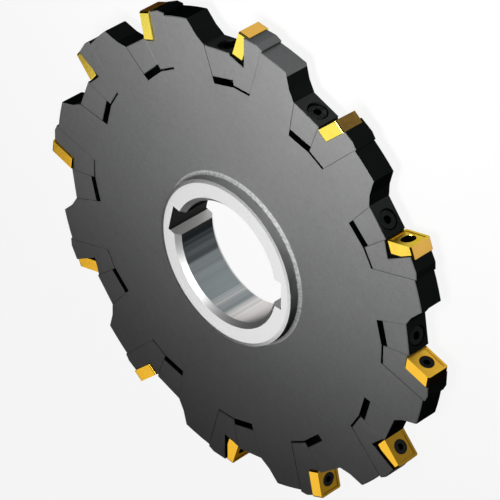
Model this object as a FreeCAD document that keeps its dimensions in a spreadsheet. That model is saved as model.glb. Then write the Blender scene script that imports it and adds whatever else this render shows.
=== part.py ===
# Side and face milling cutter of the assembled kind, in millimetres.
# A steel disc with a ground hub carries twelve tooth stations. Each station is a slot in the rim
# that holds a cartridge with a screwed-on square insert, and a tapered wedge whose screw draws it
# down beside the cartridge. The stations alternate: every second insert stands proud of the upper
# face, the others stand proud of the lower face, so that together they cut the full width.
# The cutter lies on its lower hub face. The bore axis is Z and the origin is at the bore's foot.

import FreeCAD
import Part
import Sketcher

import os

# Two places closer than this are the same when an edge is looked up.
TOUCH = 0.001

# Driving dimensions: lengths in millimetres, angles in degrees.
SIZES = {
    # hub, bore and keyways
    "hub_radius": 34.3,
    "hub_length": 20.0,
    "hub_edge": 1.4,
    "hub_edge_drop": 0.2,
    "hub_foot": 1.6,
    "bore_radius": 25.0,
    "bore_edge": 1.9,
    "key_width": 12.0,
    "key_floor": 29.6,
    "key_stagger": 166.5,
    # disc
    "disc_thickness": 10.5,
    "land_drop": 2.3,
    "rim_edge": 0.35,
    "tooth_count": 12,
    # insert: place of its cutting tip, its lean, its own size
    "cutting_radius": 100.0,
    "tip_offset": 2.1,
    "rake_lean": 17.5,
    "flank_slope": 8.0,
    "insert_length": 12.0,
    "insert_thickness": 4.9,
    "side_stand": 0.75,
    "wall_thickness": 0.95,
    "corner_radius": 0.8,
    "chip_inset": 1.1,
    "chip_depth": 0.25,
    # slot and wedge: the slot line leans back over the gullet
    "slot_offset": 4.7,
    "slot_depth": 25.5,
    "wedge_lean": 15.3,
    "wedge_taper": 11.1,
    "wedge_foot": 10.25,
    "wedge_lift": 2.9,
    "wedge_top": 14.4,
    "gullet_slope": 6.1,
    "heel_foot": 4.9,
    "heel_foot_slope": 31.8,
    "heel_slope": 45.0,
    "edge_break": 0.25,
    # cartridge
    "land_offset": 14.1,
    "back_lean": 15.4,
    "floor_gap": 0.8,
    "top_drop": 0.5,
    "top_offset": 11.6,
    "back_stand": 0.8,
    "seat_drop": 0.35,
    "wall_edge": 5.3,
    "wall_foot_drop": 2.0,
    # wedge screw
    "wedge_bolt": 4.0,
    "wedge_head": 7.0,
    "wedge_head_height": 4.0,
    "wedge_head_depth": 4.6,
    "wedge_bolt_shift": 0.7,
    "wedge_bore": 8.0,
    "wedge_hole": 4.5,
    "wedge_reach": 8.0,
    "wedge_socket": 3.0,
    "wedge_socket_depth": 2.2,
    # insert screw
    "insert_bolt": 4.0,
    "insert_bore": 6.0,
    "insert_hole": 4.4,
    "insert_head_set": 0.4,
    "insert_sink": 2.4,
    "insert_reach": 5.5,
    "insert_socket": 2.4,
    "insert_socket_depth": 1.4,
    # running room of a screw in its thread
    "thread_room": 0.05,
    "drill_room": 1.0,
}

# Places worked out from the driving dimensions. A tooth is laid out with its radius along +Y; the
# cutter turns towards -X there. z is counted from the middle of the disc.
LAYOUT = {
    "land_radius": "Sizes.cutting_radius - Sizes.land_drop",
    "half_disc": "Sizes.disc_thickness / 2",
    "disc_low": "(Sizes.hub_length - Sizes.disc_thickness) / 2",
    "disc_high": "(Sizes.hub_length + Sizes.disc_thickness) / 2",
    # the round foot of the hub is made of three cones; these place the two corners between them
    "foot_far": "Sizes.hub_foot / 2",
    "foot_near": "Sizes.hub_foot * (1 - cos(30))",
    "seat_plane": "half_disc - Sizes.wall_thickness",
    "insert_width": "half_disc + Sizes.side_stand + seat_plane",
    "insert_middle": "insert_width / 2 - seat_plane",
    # insert corners
    "tip_x": "Sizes.tip_offset",
    "tip_y": "sqrt(Sizes.cutting_radius ^ 2 - tip_x ^ 2)",
    "rake_x": "tip_x - Sizes.insert_length * sin(Sizes.rake_lean)",
    "rake_y": "tip_y - Sizes.insert_length * cos(Sizes.rake_lean)",
    "flank": "Sizes.insert_thickness / cos(Sizes.rake_lean - Sizes.flank_slope)",
    "flank_x": "flank * cos(Sizes.flank_slope)",
    "flank_y": "flank * sin(Sizes.flank_slope)",
    "seat_x": "rake_x + flank_x",
    "seat_y": "rake_y - flank_y",
    "hole_x": "(tip_x + rake_x) / 2",
    "hole_y": "(tip_y + rake_y) / 2",
    # slot: its floor is square to the slot line under the wedge and level under the cartridge
    "slot_height": "Sizes.cutting_radius - Sizes.slot_depth",
    "half_foot": "Sizes.wedge_foot / 2",
    "floor_x": "half_foot * cos(Sizes.wedge_lean) - Sizes.slot_offset",
    "floor_y": "slot_height + half_foot * sin(Sizes.wedge_lean)",
    "toe_x": "-Sizes.slot_offset - half_foot * cos(Sizes.wedge_lean)",
    "toe_y": "slot_height - half_foot * sin(Sizes.wedge_lean)",
    "side_slope": "tan(Sizes.wedge_taper / 2)",
    "top_slope": "tan(Sizes.gullet_slope)",
    # wedge corners, measured along and across the slot line
    "wedge_left_y": "(Sizes.wedge_top + half_foot * top_slope) / (1 - side_slope * top_slope)",
    "wedge_left_x": "half_foot + wedge_left_y * side_slope",
    "wedge_right_y": "(Sizes.wedge_top - half_foot * top_slope) / (1 + side_slope * top_slope)",
    "wedge_right_x": "half_foot + wedge_right_y * side_slope",
    "wedge_low_x": "half_foot + Sizes.wedge_lift * side_slope",
    # gullet corner of the body: the upper left corner of the wedge
    "gullet_x": "-Sizes.slot_offset - wedge_left_x * cos(Sizes.wedge_lean)"
                " - wedge_left_y * sin(Sizes.wedge_lean)",
    "gullet_y": "slot_height - wedge_left_x * sin(Sizes.wedge_lean)"
                " + wedge_left_y * cos(Sizes.wedge_lean)",
    # back wall of the slot
    "clear_radius": "land_radius * 1.06",
    "land_x": "Sizes.land_offset",
    "land_y": "sqrt(land_radius ^ 2 - land_x ^ 2)",
    "back_slope": "tan(Sizes.back_lean)",
    "back_x": "land_x - (land_y - floor_y) * back_slope",
    "back_clear_x": "land_x + (clear_radius - land_y) * back_slope",
    # heel of the next tooth: a gentle foot behind the gullet's floor, then the steeper wall
    "heel_x": "gullet_x - Sizes.heel_foot * cos(Sizes.heel_foot_slope)",
    "heel_y": "gullet_y + Sizes.heel_foot * sin(Sizes.heel_foot_slope)",
    "heel_clear_x": "heel_x - (clear_radius - heel_y) / tan(Sizes.heel_slope)",
    # cartridge corners
    "face_slope": "tan(Sizes.wedge_lean - Sizes.wedge_taper / 2)",
    "flank_fall": "tan(Sizes.flank_slope)",
    "base_y": "floor_y + Sizes.floor_gap",
    "base_left_x": "floor_x - Sizes.floor_gap * face_slope",
    "base_right_x": "back_x + Sizes.floor_gap * back_slope",
    "ledge_x": "(floor_x - (rake_y + rake_x * flank_fall - floor_y) * face_slope)"
               " / (1 - face_slope * flank_fall)",
    "ledge_y": "rake_y + (rake_x - ledge_x) * flank_fall",
    "rest_length": "Sizes.insert_length - Sizes.seat_drop",
    "rest_x": "seat_x + rest_length * sin(Sizes.rake_lean)",
    "rest_y": "seat_y + rest_length * cos(Sizes.rake_lean)",
    "shoulder_x": "Sizes.top_offset",
    "shoulder_y": "sqrt((Sizes.cutting_radius - Sizes.top_drop) ^ 2 - shoulder_x ^ 2)",
    "back_top_x": "land_x + Sizes.back_stand * back_slope",
    "back_top_y": "land_y + Sizes.back_stand",
    "top_fall": "(rest_y - shoulder_y) / (shoulder_x - rest_x)",
    "wall_top_y": "rest_y + (rest_x - Sizes.wall_edge) * top_fall",
    "wall_foot_y": "ledge_y - Sizes.wall_foot_drop",
    # screws: the wedge's stands a little nearer the insert than the slot line
    "bolt_x": "Sizes.wedge_bolt_shift * cos(Sizes.wedge_lean) - Sizes.slot_offset",
    "bolt_y": "slot_height + Sizes.wedge_bolt_shift * sin(Sizes.wedge_lean)",
    "wedge_seat_y": "Sizes.wedge_top - Sizes.wedge_head_depth",
    "wedge_head_y": "wedge_seat_y + Sizes.wedge_head_height",
    "wedge_thread": "Sizes.wedge_bolt / 2 + Sizes.thread_room",
    "wedge_drill": "Sizes.wedge_reach + Sizes.drill_room",
    "sink_slope": "(Sizes.insert_bore - Sizes.insert_hole) / 2 / Sizes.insert_sink",
    "head_radius": "Sizes.insert_bore / 2 - Sizes.insert_head_set * sink_slope",
    "neck_x": "Sizes.insert_sink + (Sizes.insert_hole - Sizes.insert_bolt) / 2 / sink_slope",
    "insert_end": "Sizes.insert_thickness + Sizes.insert_reach",
    "insert_thread": "Sizes.insert_bolt / 2 + Sizes.thread_room",
    "insert_drill": "insert_end + Sizes.drill_room",
}

doc = FreeCAD.newDocument("SideAndFaceCutter")


def fill_sheet(name, cells, lead):
    sheet = doc.addObject("Spreadsheet::Sheet", name)
    for row, (alias, content) in enumerate(cells.items(), 1):
        sheet.set("A%d" % row, alias)
        sheet.set("B%d" % row, lead + str(content))
        sheet.setAlias("B%d" % row, alias)
    doc.recompute()
    return sheet


sizes = fill_sheet("Sizes", SIZES, "")
layout = fill_sheet("Layout", LAYOUT, "=")


def number(expression):
    result = layout.evalExpression(expression)
    return float(getattr(result, "Value", result))


def origin_item(body, role):
    return next(item for item in body.Origin.OriginFeatures if item.Role == role)


def add_sketch(body, name, role="XY_Plane", base=("0", "0", "0"), turn="0", station="0"):
    """Sketch on one of the body's origin planes, moved by base, turned about the bore axis'
    direction there, and the whole then turned about the bore axis to a station."""
    sketch = body.newObject("Sketcher::SketchObject", name)
    sketch.AttachmentSupport = [(origin_item(body, role), "")]
    sketch.MapMode = "FlatFace"
    upward = "vector(0; 0; 1)" if role == "XY_Plane" else "vector(0; 1; 0)"
    spot = "placement(vector(%s); rotation(%s; %s))" % ("; ".join(base), upward, turn)
    swing = "placement(vector(0; 0; 0); rotation(%s; %s))" % (upward, station)
    sketch.setExpression("AttachmentOffset", "%s * %s" % (swing, spot))
    return sketch


def bind(sketch, kind, item, expression):
    row = sketch.addConstraint(Sketcher.Constraint(kind, -1, 1, item, 1, number(expression)))
    sketch.setExpression("Constraints[%d]" % row, expression)


def add_outline(sketch, corners):
    """Closed outline of straight lines; each corner is a pair of expressions."""
    places = [FreeCAD.Vector(number(x), number(y), 0) for x, y in corners]
    count = len(places)
    for item in range(count):
        sketch.addGeometry(Part.LineSegment(places[item], places[(item + 1) % count]))
    for item in range(count):
        sketch.addConstraint(Sketcher.Constraint("Coincident", item, 2, (item + 1) % count, 1))
    for item, (x, y) in enumerate(corners):
        bind(sketch, "DistanceX", item, x)
        bind(sketch, "DistanceY", item, y)


def add_hexagon(sketch, across):
    """Hexagon about the sketch's origin, two of its flats upright."""
    half = "%s / 2" % across
    corner = "%s / sqrt(3)" % across
    low = "-%s / 2 / sqrt(3)" % across
    high = "%s / 2 / sqrt(3)" % across
    left = "-%s / 2" % across
    bottom = "-%s / sqrt(3)" % across
    add_outline(sketch, [(half, low), (half, high), ("0", corner), (left, high), (left, low), ("0", bottom)])


def add_prism(body, kind, name, sketch, length, reverse=False):
    """Pad or pocket of a sketch; a length of None cuts through everything."""
    feature = body.newObject(kind, name)
    feature.Profile = sketch
    if length is None:
        feature.Type = "ThroughAll"
    else:
        feature.setExpression("Length", length)
    feature.Reversed = reverse
    doc.recompute()
    return feature


def add_turned(body, kind, name, sketch, axis):
    feature = body.newObject(kind, name)
    feature.Profile = sketch
    feature.ReferenceAxis = (sketch, [axis])
    feature.Angle = 360
    doc.recompute()
    return feature


def add_pattern(body, name, originals, count):
    pattern = body.newObject("PartDesign::PolarPattern", name)
    pattern.Originals = originals
    pattern.Axis = (origin_item(body, "Z_Axis"), [""])
    pattern.Angle = 360
    pattern.setExpression("Occurrences", count)
    body.Tip = pattern
    doc.recompute()
    return pattern


def dress_edges(body, kind, name, test, size_name, size):
    """Fillet or chamfer of the edges of the body's tip for which the test holds."""
    base = body.Tip
    names = ["Edge%d" % place for place, edge in enumerate(base.Shape.Edges, 1) if test(edge)]
    feature = body.newObject(kind, name)
    feature.Base = (base, names)
    feature.setExpression(size_name, size)
    doc.recompute()
    return feature


def is_circle(edge, radius, height):
    """True for a whole edge on the circle of this radius about Z at this height."""
    middle = edge.valueAt((edge.FirstParameter + edge.LastParameter) / 2)
    ends = [vertex.Point for vertex in edge.Vertexes] + [middle]
    return all(abs(p.z - height) < TOUCH and abs((p.x ** 2 + p.y ** 2) ** 0.5 - radius) < TOUCH for p in ends)


def is_level(edge, height):
    """True for an edge that lies in the plane at this height."""
    return abs(edge.BoundBox.ZMin - height) < TOUCH and abs(edge.BoundBox.ZMax - height) < TOUCH


# Frames that the features of a tooth are drawn in. The slot frame stands in the middle of the slot's
# floor with its second axis up the slot line, and the bolt frame beside it in the wedge screw's axis.
# The hole frame lies in the middle of the rake face with its first axis into the insert.
SLOT_BASE = ("-Sizes.slot_offset", "Layout.slot_height")
BOLT_BASE = ("Layout.bolt_x", "Layout.bolt_y")
HOLE_BASE = ("Layout.hole_x", "Layout.hole_y")


def slot_sketch(body, name, height, base=SLOT_BASE):
    return add_sketch(body, name, base=base + (height,), turn="Sizes.wedge_lean")


def bolt_cross_sketch(body, name, along, height):
    """Sketch square to the wedge screw, at a distance along it."""
    x = "Layout.bolt_x - %s * sin(Sizes.wedge_lean)" % along
    y = "-Layout.bolt_y - %s * cos(Sizes.wedge_lean)" % along
    return add_sketch(body, name, "XZ_Plane", (x, height, y), "Sizes.wedge_lean")


def hole_sketch(body, name, height, station="0"):
    return add_sketch(body, name, "XY_Plane", HOLE_BASE + (height,), "-Sizes.rake_lean", station)


def rake_sketch(body, name, depth, height, station="0"):
    """Sketch parallel to the rake face, at a depth behind it."""
    x = "Layout.hole_x + %s * cos(Sizes.rake_lean)" % depth
    y = "Layout.hole_y - %s * sin(Sizes.rake_lean)" % depth
    return add_sketch(body, name, "YZ_Plane", (y, height, x), "-Sizes.rake_lean", station)


def add_body(label):
    body = doc.addObject("PartDesign::Body", label)
    body.Label = label
    return body


def place_station(body, station):
    """Turns a tooth piece from +Y to its station and lifts it to the middle of the disc."""
    turn = "360 * %d / Sizes.tooth_count - 90" % station
    spot = "vector(0; 0; Sizes.hub_length / 2)"
    body.setExpression("Placement", "placement(%s; rotation(vector(0; 0; 1); %s))" % (spot, turn))


def build_cutter_body():
    """Disc, hub, bore, keyways, twelve slots with their gullets and the wedge screws' threads."""
    body = add_body("cutter_body")
    half = add_sketch(body, "HalfSection", "XZ_Plane")
    bore = "Sizes.bore_radius"
    hub = "Sizes.hub_radius"
    rim = "Layout.land_radius"
    low = "Layout.disc_low"
    lower = [(bore, "0"), (hub + " - Sizes.hub_edge", "0"), (hub, "Sizes.hub_edge_drop"),
             (hub, low + " - Sizes.hub_foot"), (hub + " + Layout.foot_near", low + " - Layout.foot_far"),
             (hub + " + Layout.foot_far", low + " - Layout.foot_near"), (hub + " + Sizes.hub_foot", low),
             (rim, low)]
    upper = [(x, "Sizes.hub_length - (%s)" % y) for x, y in reversed(lower)]
    add_outline(half, lower + upper)
    add_turned(body, "PartDesign::Revolution", "Turning", half, "V_Axis")

    def circles(radius, heights):
        places = [number(height) for height in heights]
        return lambda edge: any(is_circle(edge, number(radius), place) for place in places)

    ends = circles(bore, ("0", "Sizes.hub_length"))
    dress_edges(body, "PartDesign::Chamfer", "BoreEdge", ends, "Size", "Sizes.bore_edge")
    rims = circles(rim, (low, "Layout.disc_high"))
    dress_edges(body, "PartDesign::Chamfer", "RimEdge", rims, "Size", "Sizes.rim_edge")

    side = "Sizes.key_width / 2"
    other_side = "-Sizes.key_width / 2"
    for name, turn in (("Keyway", "0"), ("SecondKeyway", "Sizes.key_stagger")):
        sketch = add_sketch(body, name + "Outline", turn=turn)
        add_outline(sketch, [("0", other_side), ("Sizes.key_floor", other_side), ("Sizes.key_floor", side),
                             ("0", side)])
        add_prism(body, "PartDesign::Pocket", name, sketch, None, reverse=True)

    slot = add_sketch(body, "SlotOutline")
    add_outline(slot, [("Layout.toe_x", "Layout.toe_y"),
                       ("Layout.floor_x", "Layout.floor_y"),
                       ("Layout.back_x", "Layout.floor_y"),
                       ("Layout.back_clear_x", "Layout.clear_radius"),
                       ("Layout.heel_clear_x", "Layout.clear_radius"),
                       ("Layout.heel_x", "Layout.heel_y"),
                       ("Layout.gullet_x", "Layout.gullet_y")])
    cut = add_prism(body, "PartDesign::Pocket", "Slot", slot, None, reverse=True)
    thread = slot_sketch(body, "ThreadOutline", "Sizes.hub_length / 2", BOLT_BASE)
    add_outline(thread, [("0", "0"), ("Layout.wedge_thread", "0"),
                         ("Layout.wedge_thread", "-Layout.wedge_drill"), ("0", "-Layout.wedge_drill")])
    hole = add_turned(body, "PartDesign::Groove", "Thread", thread, "V_Axis")
    add_pattern(body, "Slots", [cut, hole], "Sizes.tooth_count")
    return body


def build_wedge(station):
    """Tapered wedge; its sloping top is the floor of the gullet and holds the sunk screw."""
    body = add_body("wedge_%02d" % (station + 1))
    outline = slot_sketch(body, "Outline", "-Layout.half_disc")
    add_outline(outline, [("-Layout.wedge_low_x", "Sizes.wedge_lift"),
                          ("Layout.wedge_low_x", "Sizes.wedge_lift"),
                          ("Layout.wedge_right_x", "Layout.wedge_right_y"),
                          ("-Layout.wedge_left_x", "Layout.wedge_left_y")])
    add_prism(body, "PartDesign::Pad", "Block", outline, "Sizes.disc_thickness")
    half_disc = number("Layout.half_disc")
    dress_edges(body, "PartDesign::Chamfer", "SideEdges",
                lambda edge: is_level(edge, half_disc) or is_level(edge, -half_disc), "Size", "Sizes.edge_break")
    bore = slot_sketch(body, "BoreOutline", "0", BOLT_BASE)
    add_outline(bore, [("0", "0"), ("Sizes.wedge_hole / 2", "0"),
                       ("Sizes.wedge_hole / 2", "Layout.wedge_seat_y"),
                       ("Sizes.wedge_bore / 2", "Layout.wedge_seat_y"),
                       ("Sizes.wedge_bore / 2", "Layout.wedge_left_y"),
                       ("0", "Layout.wedge_left_y")])
    add_turned(body, "PartDesign::Groove", "Bore", bore, "V_Axis")
    place_station(body, station)
    return body


def build_cartridge(station):
    """Cartridge: seat for the insert, thin wall beside it on the side that does not cut."""
    hand = 1 if station % 2 == 0 else -1
    body = add_body("cartridge_%02d" % (station + 1))
    plane = "%d * Layout.seat_plane" % -hand
    seat = add_sketch(body, "SeatOutline", base=("0", "0", plane))
    foot = [("Layout.base_left_x", "Layout.base_y"), ("Layout.base_right_x", "Layout.base_y"),
            ("Layout.back_top_x", "Layout.back_top_y"), ("Layout.shoulder_x", "Layout.shoulder_y")]
    ledge = ("Layout.ledge_x", "Layout.ledge_y")
    add_outline(seat, foot + [("Layout.rest_x", "Layout.rest_y"), ("Layout.seat_x", "Layout.seat_y"), ledge])
    add_prism(body, "PartDesign::Pad", "SeatLayer", seat, "Layout.half_disc + Layout.seat_plane", hand < 0)
    wall = add_sketch(body, "WallOutline", base=("0", "0", plane))
    add_outline(wall, foot + [("Sizes.wall_edge", "Layout.wall_top_y"),
                              ("Sizes.wall_edge", "Layout.wall_foot_y"), ledge])
    add_prism(body, "PartDesign::Pad", "WallLayer", wall, "Sizes.wall_thickness", hand > 0)
    half_disc = number("Layout.half_disc")
    dress_edges(body, "PartDesign::Chamfer", "SideEdges",
                lambda edge: is_level(edge, half_disc) or is_level(edge, -half_disc), "Size", "Sizes.edge_break")
    thread = hole_sketch(body, "ThreadOutline", "%d * Layout.insert_middle" % hand)
    add_outline(thread, [("0", "0"), ("Layout.insert_drill", "0"),
                         ("Layout.insert_drill", "Layout.insert_thread"), ("0", "Layout.insert_thread")])
    add_turned(body, "PartDesign::Groove", "Thread", thread, "H_Axis")
    place_station(body, station)
    return body


def build_insert(station):
    """Square insert: rounded corners, shallow hollow in the rake face, countersunk hole."""
    hand = 1 if station % 2 == 0 else -1
    body = add_body("insert_%02d" % (station + 1))
    outline = add_sketch(body, "Outline", base=("0", "0", "%d * Layout.seat_plane" % -hand))
    add_outline(outline, [("Layout.rake_x", "Layout.rake_y"),
                          ("Layout.seat_x", "Layout.seat_y"),
                          ("Layout.tip_x + Layout.flank_x", "Layout.tip_y - Layout.flank_y"),
                          ("Layout.tip_x", "Layout.tip_y")])
    add_prism(body, "PartDesign::Pad", "Block", outline, "Layout.insert_width", hand < 0)
    slope = FreeCAD.Vector(number("Layout.flank_x"), -number("Layout.flank_y"), 0)

    def runs_back(edge):
        return len(edge.Vertexes) == 2 and abs(edge.tangentAt(edge.FirstParameter).dot(slope)) > \
            slope.Length - TOUCH

    dress_edges(body, "PartDesign::Fillet", "Corners", runs_back, "Radius", "Sizes.corner_radius")
    middle = "%d * Layout.insert_middle" % hand
    hollow = rake_sketch(body, "HollowOutline", "0", middle)
    half_length = "Sizes.insert_length / 2 - Sizes.chip_inset"
    half_width = "Layout.insert_width / 2 - Sizes.chip_inset"
    add_outline(hollow, [("-(%s)" % half_length, "-(%s)" % half_width), (half_length, "-(%s)" % half_width),
                         (half_length, half_width), ("-(%s)" % half_length, half_width)])
    add_prism(body, "PartDesign::Pocket", "Hollow", hollow, "Sizes.chip_depth", reverse=True)
    bore = hole_sketch(body, "BoreOutline", middle)
    add_outline(bore, [("0", "0"), ("Sizes.insert_thickness + Sizes.drill_room", "0"),
                       ("Sizes.insert_thickness + Sizes.drill_room", "Sizes.insert_hole / 2"),
                       ("Sizes.insert_sink", "Sizes.insert_hole / 2"),
                       ("0", "Sizes.insert_bore / 2")])
    add_turned(body, "PartDesign::Groove", "Bore", bore, "H_Axis")
    place_station(body, station)
    return body


def build_wedge_screws():
    """Twelve socket head screws along the slot lines, through the wedges into the disc."""
    body = add_body("wedge_screws")
    body.AllowCompound = True
    level = "Sizes.hub_length / 2"
    shape = slot_sketch(body, "Outline", level, BOLT_BASE)
    add_outline(shape, [("0", "-Sizes.wedge_reach"), ("Sizes.wedge_bolt / 2", "-Sizes.wedge_reach"),
                        ("Sizes.wedge_bolt / 2", "Layout.wedge_seat_y"),
                        ("Sizes.wedge_head / 2", "Layout.wedge_seat_y"),
                        ("Sizes.wedge_head / 2", "Layout.wedge_head_y"),
                        ("0", "Layout.wedge_head_y")])
    screw = add_turned(body, "PartDesign::Revolution", "Screw", shape, "V_Axis")
    hexagon = bolt_cross_sketch(body, "SocketOutline", "Layout.wedge_head_y", level)
    add_hexagon(hexagon, "Sizes.wedge_socket")
    socket = add_prism(body, "PartDesign::Pocket", "Socket", hexagon, "Sizes.wedge_socket_depth", reverse=True)
    add_pattern(body, "Screws", [screw, socket], "Sizes.tooth_count")
    return body


def build_insert_screws():
    """Twelve countersunk screws through the inserts into the cartridges, six for each hand."""
    body = add_body("insert_screws")
    body.AllowCompound = True
    for hand, name in ((1, "Front"), (-1, "Back")):
        level = "Sizes.hub_length / 2 + %d * Layout.insert_middle" % hand
        station = "%d * 180 / Sizes.tooth_count" % (hand + 1)
        shape = hole_sketch(body, name + "Outline", level, station)
        add_outline(shape, [("Sizes.insert_head_set", "0"), ("Layout.insert_end", "0"),
                            ("Layout.insert_end", "Sizes.insert_bolt / 2"),
                            ("Layout.neck_x", "Sizes.insert_bolt / 2"),
                            ("Sizes.insert_head_set", "Layout.head_radius")])
        screw = add_turned(body, "PartDesign::Revolution", name + "Screw", shape, "H_Axis")
        hexagon = rake_sketch(body, name + "SocketOutline", "Sizes.insert_head_set", level, station)
        add_hexagon(hexagon, "Sizes.insert_socket")
        socket = add_prism(body, "PartDesign::Pocket", name + "Socket", hexagon,
                           "Sizes.insert_socket_depth", reverse=True)
        add_pattern(body, name + "Screws", [screw, socket], "Sizes.tooth_count / 2")
    return body


nodes = [build_cutter_body(), build_wedge_screws(), build_insert_screws()]
for station in range(int(number("Sizes.tooth_count"))):
    nodes.append(build_wedge(station))
    nodes.append(build_cartridge(station))
    nodes.append(build_insert(station))
doc.recompute()

for item in doc.Objects:
    if "Invalid" in item.State or "Error" in item.State:
        raise RuntimeError("%s did not build" % item.Label)

os.makedirs("parts", exist_ok=True)
for node in nodes:
    shape = node.Shape
    if shape.isNull() or not shape.isValid():
        raise RuntimeError("%s has no valid shape" % node.Label)
    shape.exportStep("parts/%s.step" % node.Label)
    print("%-16s %2d solids %10.1f mm3" % (node.Label, len(shape.Solids), shape.Volume))
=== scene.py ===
import math

import bmesh
import bpy
from mathutils import Matrix, Vector

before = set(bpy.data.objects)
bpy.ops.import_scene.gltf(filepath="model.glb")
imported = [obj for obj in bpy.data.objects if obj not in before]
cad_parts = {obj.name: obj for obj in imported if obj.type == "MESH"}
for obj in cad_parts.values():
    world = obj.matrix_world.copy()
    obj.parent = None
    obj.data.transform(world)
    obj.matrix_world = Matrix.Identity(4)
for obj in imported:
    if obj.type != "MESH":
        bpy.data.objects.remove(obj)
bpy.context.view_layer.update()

# Floor, light and camera. The cutter lies on its lower hub face on a plain white floor, under a
# small soft lamp and a large far card, with three dim cards on its other sides. The camera looks
# down the frame's diagonal, with +Y leading up the picture.
HUB_TOP = Vector((0, 0, 0.020))
WHITE = (1, 1, 1, 1)
FLOOR_REACH = 3.0
FLOOR_COLOR = (0.62, 0.62, 0.62, 1)
FLOOR_GLOW = 0.9
SKY_GLOW = 0.9
WORLD_GLOW = 0.002
SOFT_LAMP_PLACE = Vector((0.0945, 0.1161, 0.3169))
SOFT_LAMP_TARGET = Vector((0.0275, 0.1741, 0.015))
SOFT_LAMP_SIZE = 0.163
SOFT_LAMP_WATTS = 0.592
SOFT_LAMP_SPREAD = math.radians(89.2)
CARD_RISE = math.radians(42.1)
CARD_AWAY = 1.2
CARD_SIZE = 0.55
CARD_SPREAD = math.radians(180)
FAR_CARD_TURN = math.radians(228.0)
FAR_CARD_WATTS = 0.824
DIM_CARD_TURNS = (math.radians(48), math.radians(138), math.radians(318))
DIM_CARD_WATTS = 0.16
LOOK_RIGHT = Vector((1, 0, -1)).normalized()
LOOK_BACK = Vector((1, 1, 1)).normalized()
LOOK_UP = LOOK_BACK.cross(LOOK_RIGHT)
CAMERA_LENS = 250.5
CAMERA_SENSOR = 36
CAMERA_NEAR = 0.05
CAMERA_FAR = 20
CAMERA_DISTANCE = 1.299
CAMERA_ASIDE = 0.0095
CAMERA_RAISED = 0.0051


class Socket:
    """Output of a shader node that takes part in plain arithmetic."""

    def __init__(self, tree, output):
        self.tree = tree
        self.output = output

    def node(self, kind, settings=None, values=None, result=0):
        """Adds a node of this kind to the same material and returns one of its outputs."""
        made = self.tree.nodes.new(kind)
        for name, setting in (settings or {}).items():
            setattr(made, name, setting)
        for name, value in (values or {}).items():
            if isinstance(value, Socket):
                self.tree.links.new(value.output, made.inputs[name])
            else:
                made.inputs[name].default_value = value
        return Socket(self.tree, made.outputs[result])

    def beside(self, result):
        """Another output of the same node."""
        return Socket(self.tree, self.output.node.outputs[result])

    def math(self, operation, first, second=0.0):
        return self.node("ShaderNodeMath", {"operation": operation}, {0: first, 1: second})

    def __add__(self, other):
        return self.math("ADD", self, other)

    def __radd__(self, other):
        return self.math("ADD", other, self)

    def __sub__(self, other):
        return self.math("SUBTRACT", self, other)

    def __rsub__(self, other):
        return self.math("SUBTRACT", other, self)

    def __mul__(self, other):
        return self.math("MULTIPLY", self, other)

    def __rmul__(self, other):
        return self.math("MULTIPLY", other, self)

    def __truediv__(self, other):
        return self.math("DIVIDE", self, other)

    def __rtruediv__(self, other):
        return self.math("DIVIDE", other, self)

    def __abs__(self):
        return self.math("ABSOLUTE", self)

    def between(self, low, high):
        """Climbs smoothly from 0 at low to 1 at high, or falls where high is the smaller."""
        return self.node("ShaderNodeMapRange", {"interpolation_type": "SMOOTHSTEP"},
                         {"Value": self, "From Min": low, "From Max": high})

    def mix(self, low, high):
        """Colour that goes from low to high as this value goes from 0 to 1."""
        return self.node("ShaderNodeMix", {"data_type": "RGBA"}, {0: self, 6: low, 7: high}, 2)

    def blend(self, low, high):
        """Number that goes from low to high as this value goes from 0 to 1."""
        return self * (high - low) + low

    def tint(self, factor):
        """This colour made lighter or darker."""
        return self.node("ShaderNodeVectorMath", {"operation": "SCALE"}, {0: self, "Scale": factor})

    def clouds(self, scale, detail=3.0):
        """Cloudy pattern about 0 in the space of this point; scale is in lumps per metre."""
        return self.node("ShaderNodeTexNoise", None,
                         {"Vector": self, "Scale": scale, "Detail": detail}) - 0.5

    def lines(self, scale, detail=2.0):
        """Uneven lines about 0 across this length; scale is in lines per metre."""
        return self.node("ShaderNodeTexNoise", {"noise_dimensions": "1D"},
                         {"W": self, "Scale": scale, "Detail": detail}) - 0.5


def new_material(name):
    """Empty material, with the place on the object to start its patterns from."""
    material = bpy.data.materials.new(name)
    material.use_nodes = True
    material.node_tree.nodes.clear()
    coordinates = material.node_tree.nodes.new("ShaderNodeTexCoord")
    return material, Socket(material.node_tree, coordinates.outputs["Object"])


def finish_material(material, shader):
    """Gives the material its shader."""
    output = material.node_tree.nodes.new("ShaderNodeOutputMaterial")
    material.node_tree.links.new(shader.output, output.inputs["Surface"])


floor_mesh = bpy.data.meshes.new("floor")
floor_shape = bmesh.new()
bmesh.ops.create_grid(floor_shape, x_segments=1, y_segments=1, size=FLOOR_REACH)
floor_shape.to_mesh(floor_mesh)
floor_shape.free()
floor = bpy.data.objects.new("floor", floor_mesh)
bpy.context.collection.objects.link(floor)
floor_paint, place = new_material("floor")
ray = place.node("ShaderNodeLightPath", result="Is Camera Ray")
seen = ray + ray.beside("Is Glossy Ray") + ray.beside("Is Transmission Ray")
matt = place.node("ShaderNodeBsdfDiffuse", None, {"Color": FLOOR_COLOR})
white = place.node("ShaderNodeEmission", None, {"Color": WHITE, "Strength": 1.0})
finish_material(floor_paint, place.node("ShaderNodeMixShader", None, {
    0: seen * FLOOR_GLOW, 1: matt, 2: white}))
floor_mesh.materials.append(floor_paint)

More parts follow.
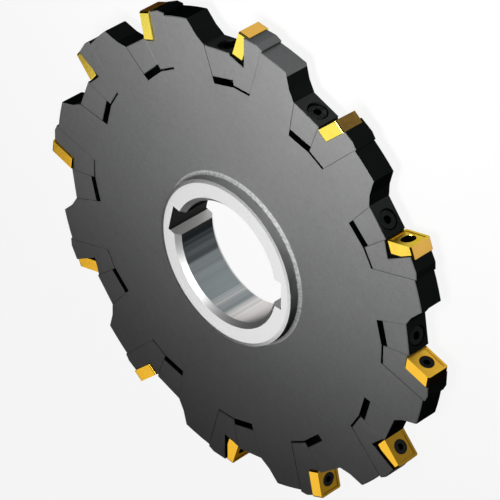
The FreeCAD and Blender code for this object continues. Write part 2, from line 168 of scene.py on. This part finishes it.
world = bpy.data.worlds.new("studio")
bpy.context.scene.world = world
world.use_nodes = True
sky = world.node_tree.nodes["Background"]
sky.inputs["Color"].default_value = WHITE
sky_ray = world.node_tree.nodes.new("ShaderNodeLightPath")
looked_at = Socket(world.node_tree, sky_ray.outputs["Is Camera Ray"])
world.node_tree.links.new((looked_at * SKY_GLOW + WORLD_GLOW).output, sky.inputs["Strength"])


def add_lamp(name, stand, target, size, watts, spread):
    """Round area lamp that shines at the target and isn't seen itself."""
    light = bpy.data.lights.new(name, "AREA")
    light.shape = "DISK"
    light.size = size
    light.energy = watts
    light.spread = spread
    lamp = bpy.data.objects.new(name, light)
    lamp.location = stand
    lamp.rotation_euler = (target - stand).to_track_quat("-Z", "Y").to_euler()
    lamp.visible_camera = False
    bpy.context.collection.objects.link(lamp)


def add_card(name, way_round, watts):
    """Large far lamp, way_round from +X about the bore."""
    level = math.cos(CARD_RISE)
    way = Vector((level * math.cos(way_round), level * math.sin(way_round), math.sin(CARD_RISE)))
    add_lamp(name, CARD_AWAY * way, HUB_TOP, CARD_SIZE, watts, CARD_SPREAD)


add_lamp("soft_lamp", SOFT_LAMP_PLACE, SOFT_LAMP_TARGET, SOFT_LAMP_SIZE, SOFT_LAMP_WATTS,
         SOFT_LAMP_SPREAD)
add_card("far_card", FAR_CARD_TURN, FAR_CARD_WATTS)
for number, dim_card_turn in enumerate(DIM_CARD_TURNS, 1):
    add_card("dim_card_%d" % number, dim_card_turn, DIM_CARD_WATTS)

camera_data = bpy.data.cameras.new("camera")
camera_data.lens = CAMERA_LENS
camera_data.sensor_width = CAMERA_SENSOR
camera_data.clip_start = CAMERA_NEAR
camera_data.clip_end = CAMERA_FAR
camera = bpy.data.objects.new("camera", camera_data)
turn = Matrix((LOOK_RIGHT, LOOK_UP, LOOK_BACK)).transposed().to_4x4()
stand = (HUB_TOP + CAMERA_ASIDE * LOOK_RIGHT + CAMERA_RAISED * LOOK_UP
         + CAMERA_DISTANCE * LOOK_BACK)
camera.matrix_world = Matrix.Translation(stand) @ turn
bpy.context.collection.objects.link(camera)
bpy.context.scene.camera = camera
bpy.context.scene.view_settings.view_transform = "Standard"

# Cutter body. One steel piece, turned and milled. The disc's flat sides and broken edges are
# ground to a satin, and its slots and rim are black, with a painted highlight on a patch of the
# rim near +Y. The hub's faces and bore are ground, the faces bright between turned walls. The
# bore carries painted shade and painted reflection bands around it, the keyway floor is painted
# in shade, and the hub walls are painted from shade on the -Y side to a reflection towards +Y.
DISC_MIDDLE = HUB_TOP.z / 2
DISC_SIDE = 0.00525
RIM_RADIUS = 0.0963
BORE_RADIUS = 0.025
BORE_CHAMFER_RADIUS = 0.0269
KEYWAY_FLOOR = 0.0293
HUB_RADIUS = 0.0343
HUB_FOOT_EDGE = 0.0359
STEP = 0.00006
SATIN_COLOR = (0.387, 0.391, 0.388, 1)
SATIN_ROUGHNESS = 0.849
SATIN_LEVEL = (0.3, 0.9)
BLACK_COLOR = (0.009, 0.01, 0.01, 1)
BLACK_ROUGHNESS = 0.55
RIM_COLOR = (0.009, 0.01, 0.01, 1)
RIM_HIGHLIGHT_COLOR = (0.15, 0.153, 0.155, 1)
RIM_HIGHLIGHT_X = (-0.004, 0.012)
RIM_HIGHLIGHT_Y = (0.083, 0.093)
RIM_HIGHLIGHT_WANDER_X = 0.01
RIM_HIGHLIGHT_WANDER_Y = 0.004
FINE_DETAIL = 4.0
GRAIN_SCALE = 1600.0
GRAIN_TINT = 0.3
MOTTLE_SCALE = 420.0
MOTTLE_TINT = 0.22
MOTTLE_ROUGHNESS = 0.12
MOTTLE_HEIGHT = 0.5
CLOUD_SCALE = 38.0
CLOUD_TINT = 0.16
RING_SCALE = 3600.0
RING_TINT = 0.2
RING_ROUGHNESS = 0.06
RING_HEIGHT = 0.8
GRAZING_TINT = (0.2, 0.2, 0.2, 1)
BUMP_STRENGTH = 0.1
BUMP_DISTANCE = 0.00005
HUB_COLOR = (0.94, 0.94, 0.94, 1)
HUB_ROUGHNESS = 0.259
HUB_LEVEL = (0.5, 0.6)
CHAMFER_ROUGHNESS = 0.52
TURNING_SCALE = 4800.0
TURNING_DETAIL = 3.0
TURNING_TINT = 0.14
TURNING_ROUGHNESS = 0.08
HUB_WALL_SHADE_COLOR = (0.07, 0.075, 0.075, 1)
HUB_WALL_REFLECTION_COLOR = (0.6, 0.61, 0.61, 1)
HUB_WALL_REFLECTION_Y = (-0.02, 0.036)
HUB_WALL_ROUGHNESS = 0.6
WAVER_SCALE = 90.0
WAVER_REACH = 0.03
HUB_FOOT_COLOR = (0.85, 0.85, 0.85, 1)
HUB_FOOT_ROUGHNESS = 0.8
HUB_FOOT_SPECKS = 900.0
HUB_FOOT_SPECK_TINT = 1.2
KEYWAY_FLOOR_SHADE_COLOR = (0.05, 0.05, 0.05, 1)
KEYWAY_SIDE_COLOR = (0.9, 0.89, 0.88, 1)
KEYWAY_SIDE_ROUGHNESS = 0.75
BORE_SHADE_COLOR = (0.015, 0.018, 0.019, 1)
BORE_COLOR = (0.25, 0.28, 0.29, 1)
BORE_REFLECTION_COLOR = (0.9, 0.87, 0.85, 1)
BORE_ROUGHNESS = 0.35
BORE_REFLECTION_SIDE = (0.5, -0.866)
BORE_FROM_SHADE = (-0.5, 0.45)
BORE_TO_REFLECTION = (0.6, 1.05)
BORE_BAND_SCALE = 7.0
BORE_BAND_REACH = 1.1


class Spot:
    """Where a point lies on the cutter: x, y, z and its distance from the bore axis, in metres,
    the way the surface faces, and how level it lies, from 0 to 1."""

    def __init__(self, place):
        self.x = place.node("ShaderNodeSeparateXYZ", None, {0: place})
        self.y = self.x.beside("Y")
        self.z = self.x.beside("Z")
        self.radius = place.math("SQRT", self.x * self.x + self.y * self.y)
        self.facing = place.node("ShaderNodeNewGeometry", result="True Normal")
        self.level = abs(place.node("ShaderNodeSeparateXYZ", None, {0: self.facing}, "Z"))


def ground_steel(place, spot, black):
    """Colour, roughness and height of dark steel whose flat sides and broken edges are ground, with
    a painted highlight on a patch of the rim near +Y.
    """
    grain = place.clouds(GRAIN_SCALE, FINE_DETAIL)
    mottle = place.clouds(MOTTLE_SCALE, FINE_DETAIL)
    cloud = place.clouds(CLOUD_SCALE)
    rings = spot.radius.lines(RING_SCALE)
    off_middle = abs(spot.z - DISC_MIDDLE)
    satin = (spot.level.between(*SATIN_LEVEL)
             * off_middle.between(DISC_SIDE - 5 * STEP, DISC_SIDE - 4 * STEP))
    # Painted highlight: a lighter patch on the rim near +Y, standing in for lamp light there.
    highlight_and_wear = ((spot.y + cloud * RIM_HIGHLIGHT_WANDER_Y).between(*RIM_HIGHLIGHT_Y)
              * (spot.x + cloud * RIM_HIGHLIGHT_WANDER_X).between(*RIM_HIGHLIGHT_X))
    rim = spot.radius.between(RIM_RADIUS - STEP, RIM_RADIUS + STEP)
    dark = rim.mix(black, highlight_and_wear.mix(RIM_COLOR, RIM_HIGHLIGHT_COLOR))
    color = satin.mix(dark, SATIN_COLOR).tint(
        1.0 + grain * GRAIN_TINT + mottle * MOTTLE_TINT + cloud * CLOUD_TINT
        + rings * satin * RING_TINT)
    roughness = (satin.blend(BLACK_ROUGHNESS, SATIN_ROUGHNESS) + mottle * MOTTLE_ROUGHNESS
                 + rings * satin * RING_ROUGHNESS)
    height = grain + mottle * MOTTLE_HEIGHT + rings * satin * RING_HEIGHT
    return color, roughness, height


def metal(place, color, roughness, height):
    """Bare metal shader; height is in twentieths of a millimetre."""
    bump = place.node("ShaderNodeBump", None, {
        "Height": height, "Strength": BUMP_STRENGTH, "Distance": BUMP_DISTANCE})
    return place.node("ShaderNodeBsdfPrincipled", {"distribution": "GGX"}, {
        "Base Color": color, "Roughness": roughness, "Metallic": 1.0,
        "Specular Tint": GRAZING_TINT, "Normal": bump})


def dress(node, material):
    """Gives a CAD piece its finish."""
    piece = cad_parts[node]
    piece.data.materials.clear()
    piece.data.materials.append(material)


body_steel, place = new_material("body_steel")
spot = Spot(place)
color, roughness, height = ground_steel(place, spot, BLACK_COLOR)
hub = spot.radius.between(HUB_FOOT_EDGE + STEP, HUB_FOOT_EDGE - STEP)
foot = spot.radius.between(HUB_RADIUS, HUB_RADIUS + STEP)
wall = spot.radius.between(HUB_RADIUS - 3 * STEP, HUB_RADIUS - 2 * STEP)
beyond_bore = spot.radius.between(BORE_RADIUS + STEP, BORE_RADIUS + 2 * STEP)
chamfer = spot.radius.between(BORE_CHAMFER_RADIUS + STEP, BORE_CHAMFER_RADIUS)
keyway_floor = spot.radius.between(KEYWAY_FLOOR, KEYWAY_FLOOR + STEP)
turning = spot.radius.lines(TURNING_SCALE, TURNING_DETAIL)
# Painted shade and painted reflection in the bore: dark on one side, bright towards az -60, in
# uneven bands along the axis.
around = (spot.x * BORE_REFLECTION_SIDE[0] + spot.y * BORE_REFLECTION_SIDE[1]) / spot.radius
bore_light_bands = around + around.lines(BORE_BAND_SCALE, FINE_DETAIL) * BORE_BAND_REACH
bore_color = bore_light_bands.between(*BORE_FROM_SHADE).mix(BORE_SHADE_COLOR, BORE_COLOR)
bore_color = bore_light_bands.between(*BORE_TO_REFLECTION).mix(bore_color, BORE_REFLECTION_COLOR)
# Painted shade: the keyway floor is near black, for the shade that falls in it.
keyway_color = keyway_floor.mix(KEYWAY_SIDE_COLOR, KEYWAY_FLOOR_SHADE_COLOR)
# Painted light on the hub wall: painted shade on the -Y side and a painted reflection towards +Y,
# with a wavering edge.
wavering_y = spot.y + place.clouds(WAVER_SCALE, FINE_DETAIL) * WAVER_REACH
wall_color = wavering_y.between(*HUB_WALL_REFLECTION_Y).mix(HUB_WALL_SHADE_COLOR, HUB_WALL_REFLECTION_COLOR)
upright_color = wall.mix(beyond_bore.mix(bore_color, keyway_color), wall_color)
level = spot.level.between(*HUB_LEVEL)
hub_color = level.mix(upright_color, foot.mix(HUB_COLOR, HUB_FOOT_COLOR)).tint(
    1.0 + turning * TURNING_TINT + foot * place.clouds(HUB_FOOT_SPECKS) * HUB_FOOT_SPECK_TINT)
hole_roughness = beyond_bore.blend(BORE_ROUGHNESS, KEYWAY_SIDE_ROUGHNESS)
upright_roughness = wall.blend(hole_roughness, HUB_WALL_ROUGHNESS)
face_roughness = chamfer.blend(HUB_ROUGHNESS, CHAMFER_ROUGHNESS)
level_roughness = foot.blend(face_roughness, HUB_FOOT_ROUGHNESS)
hub_roughness = level.blend(upright_roughness, level_roughness) + turning * TURNING_ROUGHNESS
finish_material(body_steel, metal(
    place, hub.mix(color, hub_color), hub.blend(roughness, hub_roughness),
    hub.blend(height, turning)))
dress("cutter_body", body_steel)

# Cartridges and wedges. Blackened steel blocks that stand in the body's slots and are ground on
# their flat sides together with the disc. A wedge, drawn in by its screw, clamps each cartridge.
STATIONS = range(1, 13)
CARTRIDGE_BLACK = (0.009, 0.01, 0.01, 1)
WEDGE_BLACK = (0.01, 0.011, 0.011, 1)
WEDGE_HIGHLIGHT_BLACK = (0.035, 0.038, 0.037, 1)
WEDGE_HIGHLIGHT_Y = (0.04, 0.07)
WEDGE_HIGHLIGHT_WANDER = 0.01


def dress_stations(kind, material):
    """Gives the pieces of this kind at all twelve stations their finish."""
    for station in STATIONS:
        dress("%s_%02d" % (kind, station), material)


cartridge_steel, place = new_material("cartridge_steel")
finish_material(cartridge_steel, metal(
    place, *ground_steel(place, Spot(place), CARTRIDGE_BLACK)))
dress_stations("cartridge", cartridge_steel)

wedge_steel, place = new_material("wedge_steel")
spot = Spot(place)
# Painted highlight: the wedges are lighter towards +Y, with a wavering edge.
wavering_y = spot.y + place.clouds(WAVER_SCALE) * WEDGE_HIGHLIGHT_WANDER
wedge_black = wavering_y.between(*WEDGE_HIGHLIGHT_Y).mix(WEDGE_BLACK, WEDGE_HIGHLIGHT_BLACK)
finish_material(wedge_steel, metal(place, *ground_steel(place, spot, wedge_black)))
dress_stations("wedge", wedge_steel)

# Inserts. Square tips of pressed and ground hard metal, with a gold coloured coating that is a
# little uneven in tone and painted paler towards +Y as a highlight. The outward flanks are painted
# from near-black shade towards -Y to a highlight towards +Y, with painted shade about y = 0.083,
# and the rakes towards -Y are darkened with painted shade.
GOLD_COLOR = (0.93, 0.52, 0.05, 1)
GOLD_PALE_COLOR = (1.0, 0.82, 0.13, 1)
GOLD_CLOUD_SCALE = 260.0
GOLD_GRAIN_SCALE = 2600.0
HIGHLIGHT_PER_METRE = 9.0
TONE_START = 0.1
TONE_CLOUD = 0.7
TONE_GRAIN = 0.4
FLANK_SHADE_COLOR = (0.02, 0.015, 0.008, 1)
FLANK_HIGHLIGHT_COLOR = (0.85, 0.49, 0.1, 1)
FLANK_OUTWARD = (0.75, 0.85)
FLANK_HIGHLIGHT_Y = (0.0, 0.06)
FLANK_CLOUD = 0.25
FLANK_GRAIN = 0.15
SHADED_FLANK_Y = 0.083
SHADED_FLANK_REACH = (0.014, 0.007)
SHADED_FLANK_SHARE = 0.72
RAKE_LEVEL = (0.6, 0.2)
SHADED_RAKE_Y = (0.025, -0.05)
SHADED_RAKE_WANDER = 0.02
SHADED_RAKE_SHARE = 0.7
INSERT_SIDE_ROUGHNESS = 0.13
RAKE_ROUGHNESS = 0.4
GOLD_GRAIN_ROUGHNESS = 0.08
GOLD_CLOUD_ROUGHNESS = 0.05
insert_coating, place = new_material("coated_carbide")
spot = Spot(place)
grain = place.clouds(GOLD_GRAIN_SCALE, FINE_DETAIL)
cloud = place.clouds(GOLD_CLOUD_SCALE)
# Random unevenness in tone, plus a painted highlight that makes the gold paler towards +Y.
tone_and_highlight = cloud * TONE_CLOUD + grain * TONE_GRAIN + spot.y * HIGHLIGHT_PER_METRE + TONE_START
rake = spot.level.between(*RAKE_LEVEL)
# Painted shade: the rake faces towards -Y are darkened.
shaded_rake = rake * (spot.y + cloud * SHADED_RAKE_WANDER).between(*SHADED_RAKE_Y)
gold = tone_and_highlight.between(0.0, 1.0).mix(GOLD_COLOR, GOLD_PALE_COLOR).tint(1.0 - shaded_rake * SHADED_RAKE_SHARE)
# Painted light on the outward flanks: near-black shade towards -Y, a highlight towards +Y and
# painted shade about y = 0.083, with some random tone.
flank_shade = abs(spot.y - SHADED_FLANK_Y).between(*SHADED_FLANK_REACH) * SHADED_FLANK_SHARE
flank_light_and_tone = (spot.y.between(*FLANK_HIGHLIGHT_Y) - flank_shade + cloud * FLANK_CLOUD
              + grain * FLANK_GRAIN)
flank = flank_light_and_tone.between(0.0, 1.0).mix(FLANK_SHADE_COLOR, FLANK_HIGHLIGHT_COLOR)
outward = place.node("ShaderNodeVectorMath", {"operation": "DOT_PRODUCT"},
                     {0: spot.facing, 1: place}, "Value") / spot.radius
roughness = (rake.blend(INSERT_SIDE_ROUGHNESS, RAKE_ROUGHNESS) + grain * GOLD_GRAIN_ROUGHNESS
             + cloud * GOLD_CLOUD_ROUGHNESS)
finish_material(insert_coating, metal(
    place, outward.between(*FLANK_OUTWARD).mix(gold, flank), roughness, grain))
dress_stations("insert", insert_coating)

# Screws. Blackened steel screws with hexagon sockets, rubbed bare here and there and painted
# lighter towards +Y as a highlight. One goes through each wedge into the body, and one through
# each insert into its cartridge.
SCREW_COLOR = (0.012, 0.013, 0.013, 1)
SCREW_WEAR_AND_HIGHLIGHT_COLOR = (0.045, 0.047, 0.047, 1)
SCREW_HIGHLIGHT_Y = (0.045, 0.07)
SCREW_HIGHLIGHT_SHARE = 0.4
SCREW_WEAR_AND_HIGHLIGHT_START = -0.1
SCUFF_SCALE = 1500.0
SCUFF_SHARE = 2.0
SCUFF_ROUGHNESS = 0.2
SCREW_ROUGHNESS = 0.36
screw_steel, place = new_material("screw_steel")
scuffs = place.clouds(SCUFF_SCALE, FINE_DETAIL)
# Scuffs of real wear, plus a painted highlight that lightens the screws towards +Y.
highlight_and_wear = (scuffs * SCUFF_SHARE + Spot(place).y.between(*SCREW_HIGHLIGHT_Y) * SCREW_HIGHLIGHT_SHARE
          + SCREW_WEAR_AND_HIGHLIGHT_START)
finish_material(screw_steel, metal(
    place, highlight_and_wear.between(0.0, 1.0).mix(SCREW_COLOR, SCREW_WEAR_AND_HIGHLIGHT_COLOR),
    SCREW_ROUGHNESS + scuffs * SCUFF_ROUGHNESS, scuffs))
dress("wedge_screws", screw_steel)
dress("insert_screws", screw_steel)
